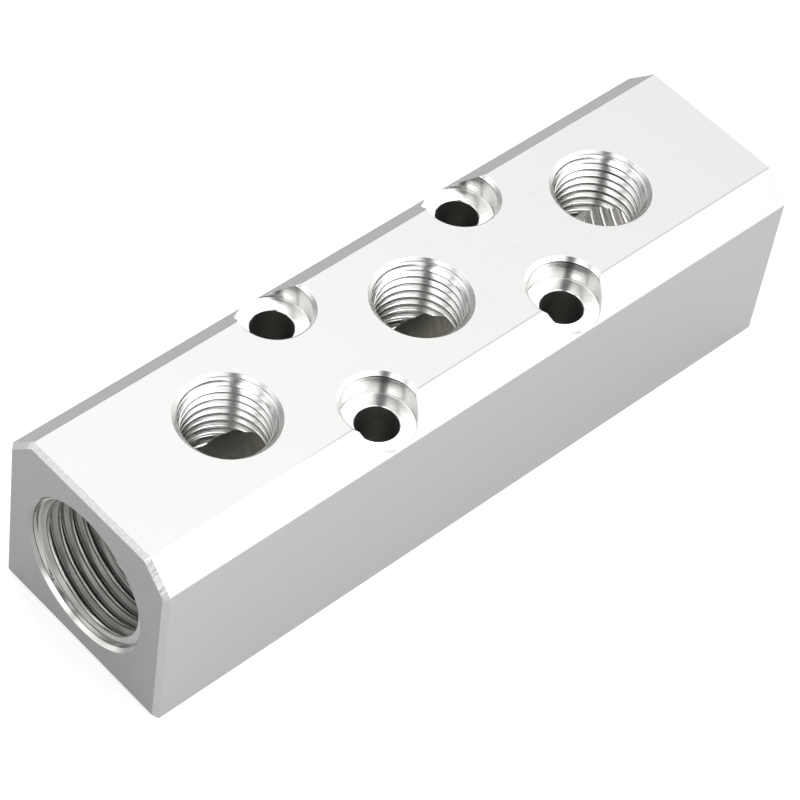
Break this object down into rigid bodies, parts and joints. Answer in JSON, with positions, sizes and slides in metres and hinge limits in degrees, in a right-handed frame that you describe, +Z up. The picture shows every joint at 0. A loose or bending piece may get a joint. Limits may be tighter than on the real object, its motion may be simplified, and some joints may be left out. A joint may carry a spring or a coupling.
{
  "type": "air manifold block",
  "caption": "Rectangular aluminium air manifold with cut top shoulders, threaded inlets in its ends, threaded outlets along its top and counterbored screw holes.",
  "frame": {"origin": "middle of the base", "axes": "+X along the block from one inlet to the other, +Z up out of the outlets"},
  "size_m": [0.109, 0.03, 0.029],
  "materials": {
    "aluminium": "satin clear-anodised faces, turned and tapped bores"
  },
  "bodies": {
    "root": {"manifold_block": "aluminium"}
  },
  "joints": []
}
